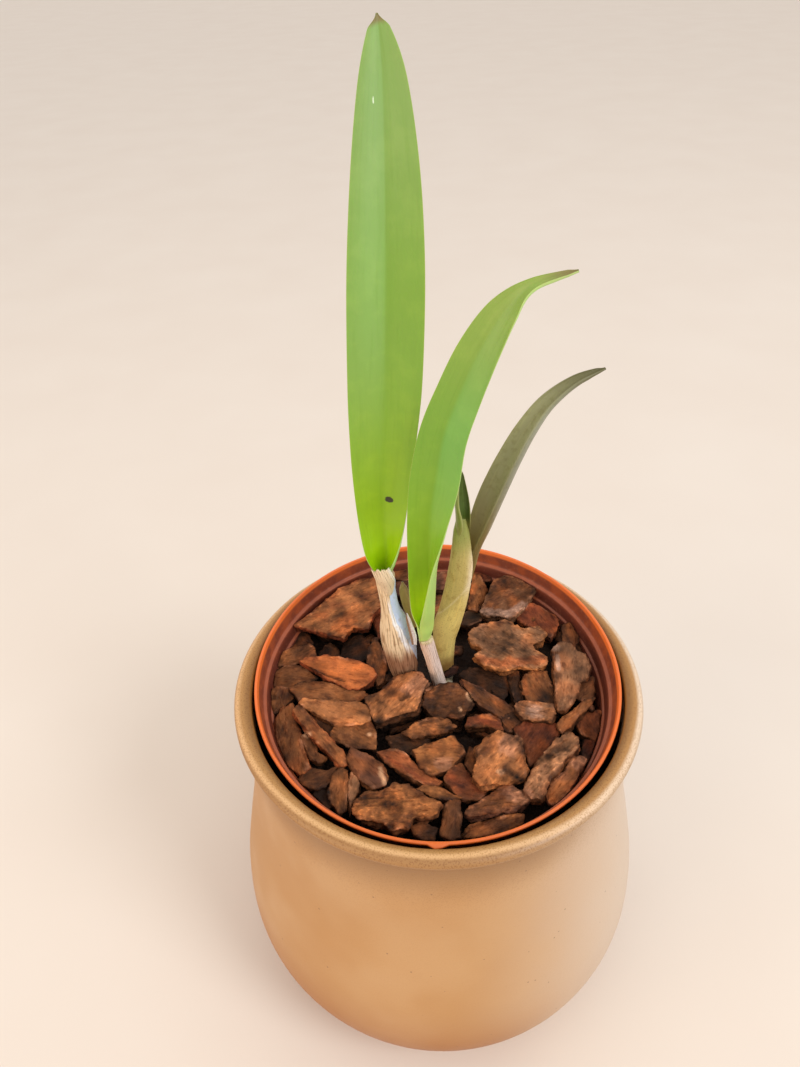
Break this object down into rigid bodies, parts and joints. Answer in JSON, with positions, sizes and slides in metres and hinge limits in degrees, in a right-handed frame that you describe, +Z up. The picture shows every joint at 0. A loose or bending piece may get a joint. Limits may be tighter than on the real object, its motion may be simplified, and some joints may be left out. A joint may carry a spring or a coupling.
{
  "type": "potted cattleya orchid",
  "caption": "Young cattleya orchid with strap leaves and a papery pseudobulb, standing in bark chips in a thin plastic pot inside a round-bellied stoneware cachepot.",
  "frame": {"origin": "centre of the cachepot's flat foot, on the surface that it stands on", "axes": "+Z up along the cachepot's axis, +X to the right and +Y away from someone who sees the plant as pictured"},
  "size_m": [0.148, 0.148, 0.3193],
  "materials": {
    "stoneware": "opaque satin stoneware glaze, buff to cream, with fine brown specks",
    "terracotta_plastic": "moulded terracotta-orange polypropylene, slightly satin",
    "bark": "rough split pine bark, brown with orange and grey faces",
    "root": "pale corky root skin",
    "papery_sheath": "dry papery sheath, straw-tan, fibrous",
    "young_green": "satin khaki-green young growth, finely speckled",
    "leaf_green": "satin waxy leaf green",
    "bronze_green": "satin bronze-green leaf with a dark tip"
  },
  "bodies": {
    "root": {"cachepot": "stoneware", "nursery_pot": "terracotta_plastic", "bark_bed": "bark", "rhizome_roots": "root", "pseudobulb_1": "papery_sheath", "shoot_2": "papery_sheath", "sheath_2_flap": "papery_sheath", "shoot_3": "young_green", "sheath_2_back": "young_green", "leaf_1": "leaf_green", "leaf_2": "leaf_green", "leaf_3_short": "young_green", "leaf_3_long": "bronze_green"}
  },
  "joints": []
}
